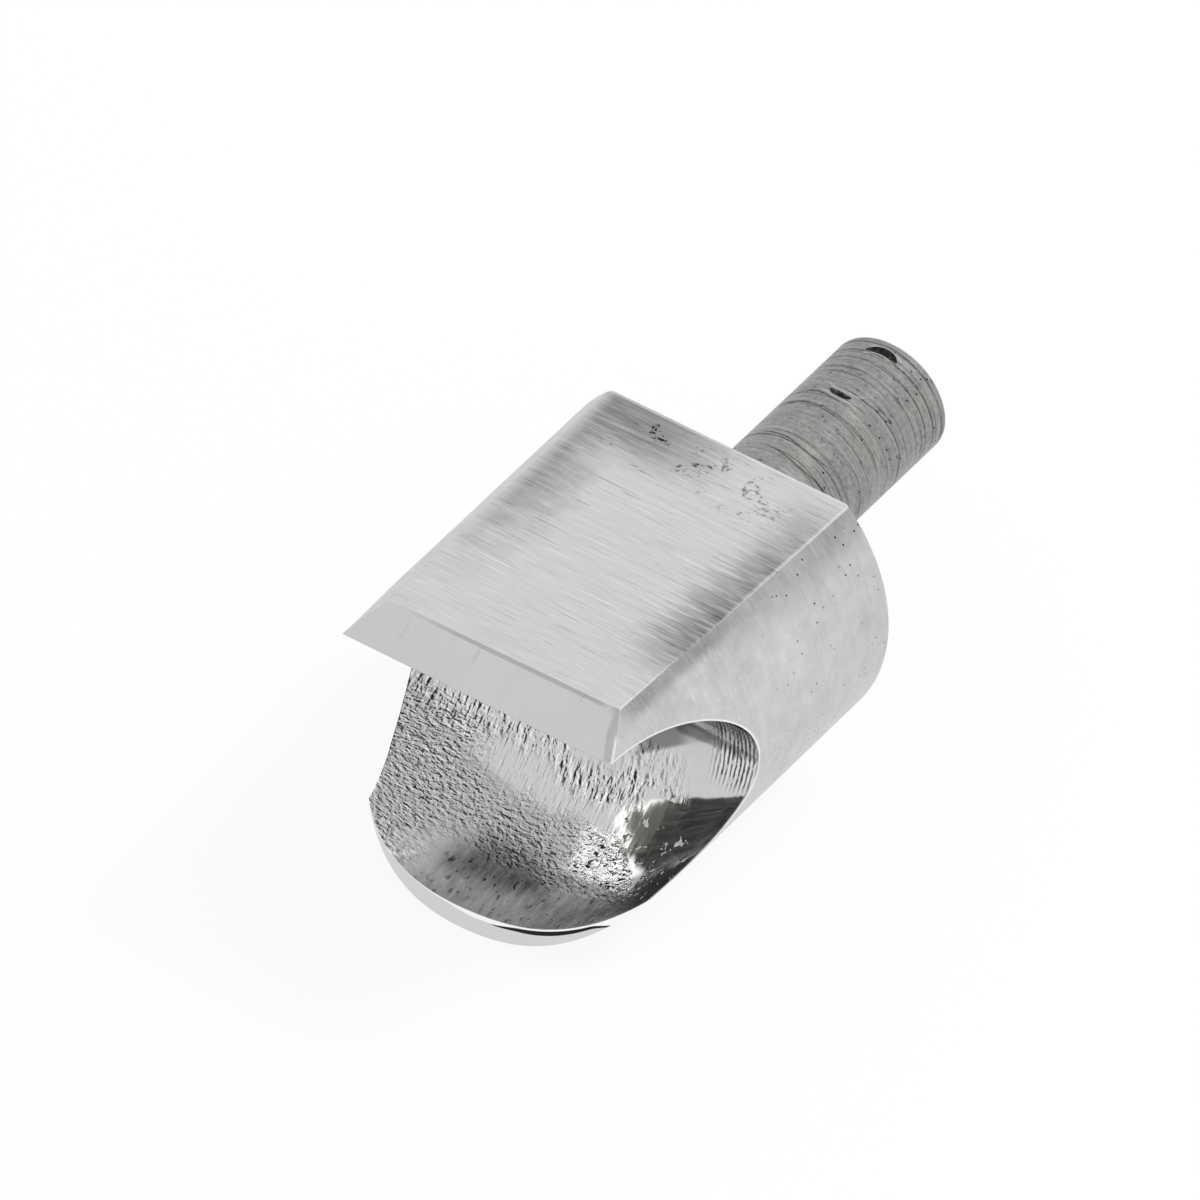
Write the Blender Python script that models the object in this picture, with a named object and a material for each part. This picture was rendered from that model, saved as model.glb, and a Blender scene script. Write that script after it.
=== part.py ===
"""Shanked cutter head: a round steel bar ground to a flat-topped blade over a hollow, thumb-shaped lip,
with a plain round shank set into its back for a handle or collet.

The frame: the origin is the centre of the shank's free end, +Y points out of that end, and +Z points up
out of the ground flat. The head lies ahead of the shank, towards -Y. Lengths below are in millimetres.
"""

import math

import bmesh
import bpy

# ---- Driving dimensions, in millimetres ----

# Bar that the head is ground from.
BAR_DIAMETER = 18.5
SHOULDER_CHAMFER = 0.15

# Ground flat on top: its height above the bar's axis rises slightly towards the blade.
FLAT_HEIGHT_AT_SHOULDER = 6.48
FLAT_HEIGHT_AT_BEVEL = 6.82
FLAT_EDGE_RADIUS = 0.25

# Polished bevel that ends in the straight cutting edge.
BLADE_REACH = 20.4
BEVEL_LENGTH = 2.05
CUTTING_EDGE_HEIGHT = 5.6

# Throat ground across the bar, between the blade and the lip.
WEB_LENGTH = 10.73
THROAT_FLOOR_POWER = 2.3
THROAT_CEILING_POWER = 2.0

# Lip below the throat.
LIP_REACH = 19.63
LIP_RIM_THICKNESS = 1.21
LIP_HOLLOW_RADIUS = 14.0
LIP_WIDTH_POWER = 3.0
LIP_REACH_POWER = 1.85
LIP_SKEW_DEGREES = 4.8

# Shank, set into a blind socket in the back of the head.
SHANK_DIAMETER = 6.35
SHANK_LENGTH = 13.85
SHANK_CHAMFER = 0.12
SOCKET_END_WALL = 3.0
SOCKET_CLEARANCE = 0.3

# Smoothness of the round stretches.
BAR_STEPS = 96
SHANK_STEPS = 64
FILLET_STEPS = 4
FLOOR_STEPS = 22
CEILING_STEPS = 14
THROAT_STATIONS = 24
LIP_STEPS = 40

# How far a cutter stands clear of what it cuts.
OVERCUT = 2.0

# ---- Places worked out from them ----

MM = 0.001
BAR_RADIUS = BAR_DIAMETER / 2
SHANK_RADIUS = SHANK_DIAMETER / 2
SHOULDER_Y = -SHANK_LENGTH
BEVEL_TOP_Y = SHOULDER_Y - BLADE_REACH + BEVEL_LENGTH
EDGE_Y = SHOULDER_Y - BLADE_REACH
WALL_Y = SHOULDER_Y - WEB_LENGTH
LIP_TIP_Y = SHOULDER_Y - LIP_REACH
LIP_SKEW = math.tan(math.radians(LIP_SKEW_DEGREES))
NOSE_Y = min(EDGE_Y, LIP_TIP_Y - LIP_SKEW * BAR_RADIUS) - OVERCUT
TANG_LENGTH = WEB_LENGTH - SOCKET_END_WALL - SOCKET_CLEARANCE


def clear_scene():
    for obj in list(bpy.data.objects):
        bpy.data.objects.remove(obj, do_unlink=True)


def steel(name, colour, roughness):
    """A Principled metal of the given base colour and roughness."""
    material = bpy.data.materials.new(name)
    material.use_nodes = True
    shader = material.node_tree.nodes["Principled BSDF"]
    shader.inputs["Base Color"].default_value = (*colour, 1.0)
    shader.inputs["Metallic"].default_value = 1.0
    shader.inputs["Roughness"].default_value = roughness
    return material


def solid(name, rings):
    """A closed mesh object lofted through rings of points in millimetres, capped at both ends."""
    mesh = bmesh.new()
    loops = [[mesh.verts.new((x * MM, y * MM, z * MM)) for x, y, z in ring] for ring in rings]
    count = len(loops[0])
    for near, far in zip(loops, loops[1:]):
        for i in range(count):
            j = (i + 1) % count
            mesh.faces.new((near[i], near[j], far[j], far[i]))
    mesh.faces.new(loops[0])
    mesh.faces.new(loops[-1])
    bmesh.ops.recalc_face_normals(mesh, faces=mesh.faces)
    data = bpy.data.meshes.new(name)
    mesh.to_mesh(data)
    mesh.free()
    obj = bpy.data.objects.new(name, data)
    bpy.context.scene.collection.objects.link(obj)
    return obj


def cut(obj, cutter):
    """Takes cutter away from obj with a live Boolean, and hides the cutter."""
    cutter.hide_render = True
    cutter.display_type = "WIRE"
    boolean = obj.modifiers.new("cut " + cutter.name, "BOOLEAN")
    boolean.operation = "DIFFERENCE"
    boolean.solver = "EXACT"
    boolean.object = cutter


def smooth(obj, sharp_degrees):
    """Shades the round stretches smooth and keeps the ground edges sharp."""
    obj.data.shade_smooth()
    obj.data.set_sharp_from_angle(angle=math.radians(sharp_degrees))


def circle(radius, y, steps):
    """A ring of points round the tool's axis."""
    angles = [2 * math.pi * i / steps for i in range(steps)]
    return [(radius * math.cos(a), y, radius * math.sin(a)) for a in angles]


def turned(name, stations, steps):
    """A piece turned about the tool's axis through (radius, y) stations."""
    return solid(name, [circle(radius, y, steps) for radius, y in stations])


# ---- Cutter body ----


def flat_height(y):
    """Height of the ground flat above the axis at this y."""
    along = (SHOULDER_Y - y) / (SHOULDER_Y - BEVEL_TOP_Y)
    return FLAT_HEIGHT_AT_SHOULDER + along * (FLAT_HEIGHT_AT_BEVEL - FLAT_HEIGHT_AT_SHOULDER)


def bar_section(y, inset=0.0):
    """The bar's section at y: a round with a flat top, and a small fillet where the two meet."""
    radius = BAR_RADIUS - inset
    height = flat_height(y) - inset
    fillet = FLAT_EDGE_RADIUS
    centre_z = height - fillet
    centre_x = math.sqrt((radius - fillet) ** 2 - centre_z**2)
    touch = math.atan2(centre_z, centre_x)
    right = []
    for i in range(FILLET_STEPS):
        angle = math.pi / 2 + (touch - math.pi / 2) * i / FILLET_STEPS
        right.append((centre_x + fillet * math.cos(angle), y, centre_z + fillet * math.sin(angle)))
    round_part = []
    for i in range(BAR_STEPS + 1):
        angle = touch - (math.pi + 2 * touch) * i / BAR_STEPS
        round_part.append((radius * math.cos(angle), y, radius * math.sin(angle)))
    left = [(-x, y, z) for x, y, z in reversed(right)]
    return right + round_part + left


def bar_blank():
    """The round bar with its flat, lofted from the shoulder to past the nose."""
    return solid(
        "cutter_body",
        [
            bar_section(SHOULDER_Y, SHOULDER_CHAMFER),
            bar_section(SHOULDER_Y - SHOULDER_CHAMFER),
            bar_section(NOSE_Y),
        ],
    )


def bevel_cutter():
    """Everything above the bevel's plane, which runs from the flat down to the cutting edge."""
    top = (BEVEL_TOP_Y, FLAT_HEIGHT_AT_BEVEL)
    edge = (EDGE_Y, CUTTING_EDGE_HEIGHT)
    length = math.dist(top, edge)
    along = ((edge[0] - top[0]) / length, (edge[1] - top[1]) / length)
    out = (along[1], -along[0])
    reach = BAR_DIAMETER + BLADE_REACH
    corners = [(-OVERCUT, 0), (reach, 0), (reach, reach), (-OVERCUT, reach)]
    outline = [(top[0] + along[0] * a + out[0] * b, top[1] + along[1] * a + out[1] * b) for a, b in corners]
    side = BAR_RADIUS + OVERCUT
    return solid("bevel_cutter", [[(x, y, z) for y, z in outline] for x in (-side, side)])


def power_arc(u_power, v_power, steps):
    """Points (u, v) with u ** u_power + v ** v_power = 1, from (0, 1) to (1, 0)."""
    angles = [math.pi / 2 * i / steps for i in range(steps + 1)]
    return [(math.sin(a) ** (2 / u_power), max(math.cos(a), 0.0) ** (2 / v_power)) for a in angles]


def lip_floor_depth(x):
    """How far the lip's floor lies below the axis: a shallow round hollow, deepest in the middle."""
    rise = LIP_HOLLOW_RADIUS - math.sqrt(LIP_HOLLOW_RADIUS**2 - x**2)
    return BAR_RADIUS - LIP_RIM_THICKNESS - rise


def throat_section(x):
    """The throat's section at x: floor, back wall and ceiling in one sweep, open towards the nose."""
    depth = WALL_Y - EDGE_Y
    front = NOSE_Y - OVERCUT
    floor_height = -lip_floor_depth(x)
    floor_arc = power_arc(THROAT_FLOOR_POWER, THROAT_FLOOR_POWER, FLOOR_STEPS)
    ceiling_arc = power_arc(THROAT_CEILING_POWER, THROAT_CEILING_POWER, CEILING_STEPS)
    floor = [(x, EDGE_Y + depth * u, floor_height * v) for u, v in floor_arc]
    ceiling = [(x, EDGE_Y + depth * u, CUTTING_EDGE_HEIGHT * v) for u, v in reversed(ceiling_arc)]
    return [(x, front, floor_height)] + floor[:-1] + ceiling + [(x, front, CUTTING_EDGE_HEIGHT)]


def throat_cutter():
    """The throat, lofted across the bar through sections set evenly round the lip hollow's arc."""
    swing = math.asin((BAR_RADIUS + OVERCUT) / LIP_HOLLOW_RADIUS)
    angles = [swing * (2 * i / THROAT_STATIONS - 1) for i in range(THROAT_STATIONS + 1)]
    return solid("throat_cutter", [throat_section(LIP_HOLLOW_RADIUS * math.sin(a)) for a in angles])


def lip_outline_cutter():
    """Everything ahead of the lip's outline, from under the bar up to the throat's middle."""
    half_width = BAR_RADIUS + SHOULDER_CHAMFER
    reach = WALL_Y - LIP_TIP_Y
    arc = power_arc(LIP_WIDTH_POWER, LIP_REACH_POWER, LIP_STEPS // 2)
    half = [(half_width * u, WALL_Y - reach * v) for u, v in arc]
    outline = [(-x, y) for x, y in reversed(half)] + half[1:]
    skewed = [(x, y + LIP_SKEW * x) for x, y in outline]
    front = NOSE_Y - OVERCUT
    side = half_width + OVERCUT
    region = skewed + [(side, skewed[-1][1]), (side, front), (-side, front), (-side, skewed[0][1])]
    bottom = -BAR_RADIUS - OVERCUT
    return solid("lip_outline_cutter", [[(x, y, z) for x, y in region] for z in (bottom, 0.0)])


def socket_cutter():
    radius = SHANK_RADIUS + SOCKET_CLEARANCE
    stations = [(radius, SHOULDER_Y + OVERCUT), (radius, SHOULDER_Y - TANG_LENGTH - SOCKET_CLEARANCE)]
    return turned("socket_cutter", stations, SHANK_STEPS)


def build_cutter_body():
    body = bar_blank()
    for cutter in (bevel_cutter(), throat_cutter(), lip_outline_cutter(), socket_cutter()):
        cut(body, cutter)
    smooth(body, 24)
    body.data.materials.append(steel("ground steel", (0.62, 0.62, 0.61), 0.32))
    return body


# ---- Shank ----


def build_shank():
    """A plain round pin: its tang sits in the socket and the rest stands out of the head."""
    tang_end = SHOULDER_Y - TANG_LENGTH
    shank = turned(
        "shank",
        [
            (SHANK_RADIUS - SHANK_CHAMFER, 0.0),
            (SHANK_RADIUS, -SHANK_CHAMFER),
            (SHANK_RADIUS, tang_end + SHANK_CHAMFER),
            (SHANK_RADIUS - SHANK_CHAMFER, tang_end),
        ],
        SHANK_STEPS,
    )
    smooth(shank, 30)
    shank.data.materials.append(steel("turned steel", (0.42, 0.41, 0.40), 0.38))
    return shank


def main():
    clear_scene()
    build_cutter_body()
    build_shank()


main()
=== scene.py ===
"""Lino cutter head: a finely modelled cutter body and shank, their steel finishes, and a studio stage.

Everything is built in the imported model's own frame. The origin is the centre of the shank's free end,
+Y points out of that end, and +Z points up out of the ground flat, so the head lies towards -Y.
"""

import math
import random

import bmesh
import bpy
from bpy.props import FloatProperty, FloatVectorProperty, IntProperty, PointerProperty
from bpy.types import Operator, Panel, PropertyGroup
from mathutils import Matrix, Vector


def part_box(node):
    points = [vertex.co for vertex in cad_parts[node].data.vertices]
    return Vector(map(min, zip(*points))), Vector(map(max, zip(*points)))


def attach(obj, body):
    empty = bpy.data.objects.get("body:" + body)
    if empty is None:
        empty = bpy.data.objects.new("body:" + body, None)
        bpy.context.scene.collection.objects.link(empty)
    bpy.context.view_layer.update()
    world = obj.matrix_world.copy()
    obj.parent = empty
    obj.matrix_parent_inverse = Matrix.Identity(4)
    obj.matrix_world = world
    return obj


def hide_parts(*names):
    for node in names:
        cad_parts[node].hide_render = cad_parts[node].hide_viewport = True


bl_info = {
    "name": "Lino Cutter Head",
    "version": (1, 0, 0),
    "blender": (4, 5, 0),
    "location": "View3D > Sidebar > Lino Cutter",
    "description": "Models a ground steel lino cutter head, its shank and a studio stage",
    "category": "Add Mesh",
}

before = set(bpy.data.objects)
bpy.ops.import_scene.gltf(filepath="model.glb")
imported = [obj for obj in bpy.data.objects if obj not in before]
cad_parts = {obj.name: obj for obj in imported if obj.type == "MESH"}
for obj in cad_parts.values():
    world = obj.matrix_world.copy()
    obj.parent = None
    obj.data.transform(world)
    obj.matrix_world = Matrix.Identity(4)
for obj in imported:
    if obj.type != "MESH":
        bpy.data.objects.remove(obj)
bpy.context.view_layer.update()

MM = 0.001
BODY_LOW, BODY_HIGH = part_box("cutter_body")
SHANK_LOW, SHANK_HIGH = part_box("shank")

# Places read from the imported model.
BAR_RADIUS = -BODY_LOW.z
SHOULDER_Y = BODY_HIGH.y
EDGE_Y = BODY_LOW.y
SHANK_RADIUS = SHANK_HIGH.z
TANG_END_Y = SHANK_LOW.y


# ---- Sizes and colours that a user would change ----


def length(name, default_mm, description):
    """A length property whose default is given in millimetres."""
    return FloatProperty(name=name, description=description, default=default_mm * MM, unit="LENGTH", precision=5)


def angle(name, default_degrees, description):
    """An angle property whose default is given in degrees."""
    return FloatProperty(name=name, description=description, default=math.radians(default_degrees), subtype="ANGLE")


def number(name, default, description):
    return FloatProperty(name=name, description=description, default=default)


def colour(name, default, description):
    """A linear RGB colour property."""
    return FloatVectorProperty(
        name=name, description=description, default=default, size=3, subtype="COLOR", min=0.0, max=1.0
    )


class BodySettings(PropertyGroup):
    """Sizes and finishes of the cutter body."""

    flat_height_at_shoulder: length("Flat height at shoulder", 6.48, "Height of the ground flat above the axis")
    flat_height_at_bevel: length("Flat height at bevel", 6.82, "Height of the flat where the bevel starts")
    bevel_length: length("Bevel length", 2.05, "How far the polished bevel runs along the axis")
    cutting_edge_height: length("Cutting edge height", 5.6, "Height of the cutting edge above the axis")
    web_length: length("Web length", 10.73, "Solid steel between the shoulder and the throat's back wall")
    throat_floor_power: number("Throat floor power", 2.3, "Fullness of the throat's floor; 2 is an ellipse")
    lip_reach: length("Lip reach", 19.63, "Distance from the shoulder to the middle of the lip's tip")
    lip_rim_thickness: length("Lip rim thickness", 1.21, "Thickness of the lip's rim in its middle")
    lip_hollow_radius: length("Lip hollow radius", 14.0, "Radius of the hollow across the lip")
    lip_width_power: number("Lip width power", 3.0, "Fullness of the lip's outline across the bar")
    lip_reach_power: number("Lip reach power", 1.85, "Fullness of the lip's outline along the bar")
    lip_skew: angle("Lip skew", 4.8, "How far the lip's outline runs askew")
    shoulder_chamfer: length("Shoulder chamfer", 0.15, "Small chamfer round the back of the bar")
    bevel_land: length("Bevel land", 0.33, "Width of the narrow land at the top right of the bevel")
    bevel_corner: length("Bevel corner", 0.6, "Radius of the land's turn at the top right of the bevel")
    left_roll: length("Left roll", 0.55, "Radius of the soft edge at the left of the flat")
    right_roll: length("Right roll", 0.2, "Radius of the crisper edge at the right of the flat")
    flat_colour: colour("Flat colour", (0.62, 0.62, 0.615), "Ground flat on top")
    side_colour: colour("Side colour", (0.61, 0.61, 0.60), "Satin sides of the bar")
    bevel_colour: colour("Bevel colour", (0.578, 0.587, 0.570), "Mirror-polished bevel")
    throat_colour: colour("Throat colour", (0.56, 0.56, 0.555), "Polished throat and lip")


class ShankSettings(PropertyGroup):
    """Sizes and finishes of the shank."""

    end_chamfer: length("End chamfer", 0.12, "Chamfer at the shank's free end")
    joint_gap: length("Joint gap", 0.03, "Dark seam between the shank and the body")
    screw_mark_radius: length("Screw mark radius", 1.85, "Radius of the ring that a cup-point screw has pressed")
    screw_mark_place: length("Screw mark place", 2.65, "Distance of the ring's centre from the free end")
    steps: IntProperty(name="Steps", description="Faces round the shank", default=144, min=24, max=256)
    steel_colour: colour("Steel colour", (0.300, 0.300, 0.296), "Darker turned steel")
    warm_colour: colour("Warm colour", (0.307, 0.300, 0.291), "Warmer clouds in the turned steel")


class StageSettings(PropertyGroup):
    """Camera, lights and surroundings."""

    azimuth: angle("Azimuth", 31.84, "Camera angle round the head")
    elevation: angle("Elevation", 41.75, "Camera angle above the floor")
    roll: angle("Roll", 3.62, "Camera roll")
    distance: length("Distance", 1079.7, "Camera distance")
    focal_length: number("Focal length", 705.5, "Lens in millimetres")
    aim: FloatVectorProperty(
        name="Aim", description="Point that the camera looks at", default=(-0.003761, -0.018155, -0.001874), size=3,
        subtype="TRANSLATION",
    )
    floor_colour: colour("Floor colour", (0.95, 0.95, 0.95), "Plain pale floor")
    floor_lift: number("Floor lift", 0.88, "How far the floor is lifted to plain white for the camera")


# ---- Hand modelling ----

# Weights up to this one are left out of a vertex group.
LEAST_WEIGHT = 0.001


def start_alone():
    """Leaves edit mode and deselects everything."""
    if bpy.context.object and bpy.context.object.mode != "OBJECT":
        bpy.ops.object.mode_set(mode="OBJECT")
    bpy.ops.object.select_all(action="DESELECT")


def make_active(piece):
    start_alone()
    piece.select_set(True)
    bpy.context.view_layer.objects.active = piece


def pick(piece, kind, test):
    """In edit mode, selects just the verts, edges or faces that pass the test."""
    mesh = bmesh.from_edit_mesh(piece.data)
    bpy.ops.mesh.select_mode(type={"verts": "VERT", "edges": "EDGE", "faces": "FACE"}[kind])
    bpy.ops.mesh.select_all(action="DESELECT")
    for element in getattr(mesh, kind):
        if test(element):
            element.select_set(True)
    mesh.select_flush_mode()
    bmesh.update_edit_mesh(piece.data, loop_triangles=False, destructive=False)


def trace(name, points):
    """Draws a line through points by extruding one vertex, and stays in edit mode."""
    start_alone()
    bpy.ops.mesh.primitive_plane_add(size=MM, location=points[0], enter_editmode=True)
    piece = bpy.context.object
    piece.name = name
    bpy.ops.mesh.select_mode(type="VERT")
    bpy.ops.mesh.merge(type="CENTER")
    for here, there in zip(points, points[1:]):
        step = Vector(there) - Vector(here)
        bpy.ops.mesh.extrude_region_move(TRANSFORM_OT_translate={"value": step})
    bpy.ops.mesh.select_all(action="SELECT")
    return piece


def add_cylinder(sides, radius, low_y, high_y):
    """A cylinder round Y, from low_y to high_y."""
    start_alone()
    bpy.ops.mesh.primitive_cylinder_add(
        vertices=sides, radius=radius, depth=high_y - low_y, location=(0, (low_y + high_y) / 2, 0),
        rotation=(math.pi / 2, 0, 0),
    )
    return finish_edit(bpy.context.object)


def fill_and_extrude(offset):
    """Closes the selected outline with a face and pushes it out into a solid."""
    bpy.ops.mesh.edge_face_add()
    bpy.ops.mesh.extrude_region_move(TRANSFORM_OT_translate={"value": offset})
    bpy.ops.mesh.select_all(action="SELECT")
    bpy.ops.mesh.normals_make_consistent(inside=False)


def finish_edit(piece):
    """Back to object mode, with the piece's place put into its mesh."""
    make_active(piece)
    bpy.ops.object.transform_apply(location=True, rotation=True, scale=True)
    return piece


def apply_modifier(piece, kind, **settings):
    """Adds a modifier with these settings and applies it."""
    make_active(piece)
    bpy.ops.object.modifier_add(type=kind)
    modifier = piece.modifiers[-1]
    for key, value in settings.items():
        setattr(modifier, key, value)
    bpy.ops.object.modifier_apply(modifier=modifier.name)


def cut_away(piece, cutter):
    """Takes the cutter's shape out of the piece. Cut faces keep the cutter's material."""
    apply_modifier(
        piece, "BOOLEAN", operation="DIFFERENCE", solver="EXACT", object=cutter, material_mode="TRANSFER"
    )
    bpy.data.objects.remove(cutter, do_unlink=True)


def slice_off(point, normal):
    """In edit mode, cuts the whole mesh at a plane, removes what the normal points to, and fills the cut."""
    bpy.ops.mesh.select_all(action="SELECT")
    bpy.ops.mesh.bisect(plane_co=point, plane_no=normal, use_fill=True, clear_outer=True, threshold=1e-7)


def give_material(piece, material):
    piece.data.materials.clear()
    piece.data.materials.append(material)


def power_arc(u_power, v_power, steps):
    """Points (u, v) with u ** u_power + v ** v_power = 1, from (0, 1) to (1, 0)."""
    angles = [math.pi / 2 * i / steps for i in range(steps + 1)]
    return [(math.sin(a) ** (2 / u_power), max(math.cos(a), 0.0) ** (2 / v_power)) for a in angles]


def smooth_step(value, low, high):
    """0 below low and 1 above high, with a smooth rise between."""
    share = min(max((value - low) / (high - low), 0.0), 1.0)
    return share * share * (3 - 2 * share)


def weigh(piece, weights_at):
    """Makes vertex groups from a function that gives, for a place, the weight in each group."""
    for vertex in piece.data.vertices:
        for name, weight in weights_at(vertex.co).items():
            group = piece.vertex_groups.get(name) or piece.vertex_groups.new(name=name)
            if weight > LEAST_WEIGHT:
                group.add([vertex.index], weight, "REPLACE")


def emboss(piece, group, kind, cell_mm, height_mm, **settings):
    """Displaces a vertex group by a texture whose cells have this size along X, Y and Z."""
    start_alone()
    bpy.ops.object.empty_add()
    ruler = bpy.context.object
    ruler.scale = [size * MM for size in cell_mm]
    bpy.context.view_layer.update()
    texture = bpy.data.textures.new(group, type=kind)
    for key, value in settings.items():
        setattr(texture, key, value)
    apply_modifier(
        piece, "DISPLACE", texture=texture, texture_coords="OBJECT", texture_coords_object=ruler,
        vertex_group=group, strength=height_mm * MM, mid_level=0.5,
    )
    bpy.data.objects.remove(ruler, do_unlink=True)


# ---- Shader maths ----


def operation(name):
    """A method of Value that adds a Math node with this operation."""
    return lambda self, *others: self.math(name, *others)


class Value:
    """A socket that arithmetic can be written on. Each operation adds its Math node."""

    def __init__(self, graph, socket):
        self.graph = graph
        self.socket = socket

    def math(self, name, *others):
        return self.graph.node("ShaderNodeMath", {"operation": name}, dict(enumerate((self, *others))))

    __add__ = __radd__ = operation("ADD")
    __sub__ = operation("SUBTRACT")
    __mul__ = __rmul__ = operation("MULTIPLY")
    __truediv__ = operation("DIVIDE")
    __pow__ = operation("POWER")
    __abs__ = operation("ABSOLUTE")
    root = operation("SQRT")
    sine = operation("SINE")
    angle_to = operation("ARCTAN2")
    above = operation("GREATER_THAN")
    at_least = operation("MAXIMUM")
    at_most = operation("MINIMUM")

    def __neg__(self):
        return self * -1.0

    def __rsub__(self, other):
        return self.math("MULTIPLY_ADD", -1.0, other)

    def __rtruediv__(self, other):
        return self**-1.0 * other

    def step(self, low, high):
        """A smooth rise from 0 at low to 1 at high."""
        return self.graph.node(
            "ShaderNodeMapRange",
            {"interpolation_type": "SMOOTHSTEP"},
            {"Value": self, "From Min": low, "From Max": high},
        )

    def fall(self, low, high):
        """A smooth fall from 1 at low to 0 at high."""
        return 1 - self.step(low, high)

    def between(self, low, high, soft):
        """1 between low and high, with soft shoulders."""
        return self.step(low - soft, low + soft) * self.fall(high - soft, high + soft)


class Graph:
    """A node tree of a material or the world."""

    def __init__(self, tree):
        self.tree = tree

    def feed(self, node, values):
        """Sets a node's sockets, and links those whose values are other sockets."""
        for key, value in values.items():
            if isinstance(value, Value):
                value = value.socket
            if isinstance(value, bpy.types.NodeSocket):
                self.tree.links.new(value, node.inputs[key])
            else:
                node.inputs[key].default_value = value

    def node(self, kind, settings, sockets):
        """Adds a node: its settings first, then its sockets' values or links."""
        node = self.tree.nodes.new(kind)
        for key, value in settings.items():
            setattr(node, key, value)
        self.feed(node, sockets)
        return Value(self, node.outputs[0])

    def mix(self, mask, first, second):
        """A colour between first and second."""
        node = self.tree.nodes.new("ShaderNodeMix")
        node.data_type = "RGBA"
        slots = [i for i, socket in enumerate(node.inputs) if socket.type == "RGBA"]
        colours = [value if isinstance(value, Value) else (*value, 1.0) for value in (first, second)]
        self.feed(node, {"Factor": mask, **dict(zip(slots, colours))})
        return Value(self, [socket for socket in node.outputs if socket.type == "RGBA"][0])

    def seen(self):
        """1 where the camera sees this, directly, in a mirror or through glass."""
        rays = self.tree.nodes.new("ShaderNodeLightPath").outputs
        return Value(self, rays["Is Camera Ray"]).at_least(rays["Is Glossy Ray"]).at_least(rays["Is Transmission Ray"])


class Paint(Graph):
    """One material's nodes, on object coordinates in millimetres."""

    def __init__(self, name):
        self.material = bpy.data.materials.new(name)
        self.material.use_nodes = True
        super().__init__(self.material.node_tree)
        self.shader = self.tree.nodes["Principled BSDF"]
        place = self.tree.nodes.new("ShaderNodeTexCoord").outputs["Object"]
        self.place = self.node("ShaderNodeVectorMath", {"operation": "SCALE"}, {"Vector": place, "Scale": 1 / MM})
        apart = self.tree.nodes.new("ShaderNodeSeparateXYZ")
        self.feed(apart, {0: self.place})
        self.x, self.y, self.z = (Value(self, socket) for socket in apart.outputs)
        self.radius = (self.x * self.x + self.z * self.z).root()

    def combine(self, x, y, z):
        return self.node("ShaderNodeCombineXYZ", {}, {"X": x, "Y": y, "Z": z})

    def noise(self, vector, scale=1.0, detail=2.0, roughness=0.5, distortion=0.0):
        """A noise on a vector, or on object coordinates scaled by a tuple: it is stretched along the small ones."""
        if isinstance(vector, tuple):
            vector = self.node("ShaderNodeVectorMath", {"operation": "MULTIPLY"}, {0: self.place, 1: vector})
        sockets = {
            "Vector": vector, "Scale": scale, "Detail": detail, "Roughness": roughness, "Distortion": distortion
        }
        return self.node("ShaderNodeTexNoise", {}, sockets)

    def wrapped(self, radius, across=1.0, lengthwise=1.0):
        """Coordinates on a cylinder round Y: the way round it, and the place along it and in over its end."""
        inward = self.y + radius - self.radius
        return self.combine(self.x.angle_to(self.z) * self.radius * across, inward * lengthwise, 0.0)

    def cells(self, vector, scale):
        """Distance to the nearest of the points scattered over X and Y."""
        return self.node("ShaderNodeTexVoronoi", {"voronoi_dimensions": "2D"}, {"Vector": vector, "Scale": scale})

    def marks(self, place, half_width):
        """Lines of even width at scattered places along one axis."""
        gap = self.node("ShaderNodeTexVoronoi", {"voronoi_dimensions": "1D"}, {"W": place, "Scale": 1.0})
        return gap.fall(half_width * 0.5, half_width * 1.5)

    def scaled_colour(self, tint, amount):
        """A colour made lighter or darker by a number."""
        return self.node("ShaderNodeVectorMath", {"operation": "SCALE"}, {0: tint, "Scale": amount})

    def finish(self, tint, roughness, height_mm, rounded_mm=0.0, metallic=1.0):
        """Feeds the shader, with a normal from a height over edges softened by a small radius."""
        relief = {"Height": height_mm * MM, "Strength": 1.0, "Distance": 1.0}
        if rounded_mm:
            relief["Normal"] = self.node("ShaderNodeBevel", {"samples": 6}, {"Radius": rounded_mm * MM})
        normal = self.node("ShaderNodeBump", {}, relief)
        self.feed(self.shader, {"Base Color": tint, "Roughness": roughness, "Metallic": metallic, "Normal": normal})
        return self.material

    def show(self, surface):
        """Gives the material this surface in place of its shader's."""
        self.feed(self.tree.nodes["Material Output"], {"Surface": surface})


# ---- Finishes of the cutter body ----

# In these, places and widths are in millimetres, patterns are scaled per millimetre, and a step's two numbers
# are where a value starts to count and where it counts in full.

EDGE_SOFTENING = 0.07
RIB_PITCH = 0.22
# Colours of the painted highlights along the edges of the flat, the sides, the bevel and the rim.
FLAT_EDGE_HIGHLIGHT = (0.80, 0.80, 0.79)
SIDE_EDGE_HIGHLIGHT = (0.90, 0.90, 0.89)
BEVEL_EDGE_HIGHLIGHT = (0.95, 0.95, 0.94)
RIM_EDGE_HIGHLIGHT = (0.94, 0.94, 0.93)


def across_flat(paint, settings):
    """X, stretched so that the right edge of the flat is at the same value all along it."""
    heights = (settings.flat_height_at_shoulder, settings.flat_height_at_bevel)
    back, front = (math.sqrt(BAR_RADIUS**2 - height**2) for height in heights)
    narrowing = (back - front) / (SHOULDER_Y - EDGE_Y - settings.bevel_length)
    return paint.x - (paint.y - SHOULDER_Y / MM) * narrowing


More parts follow.
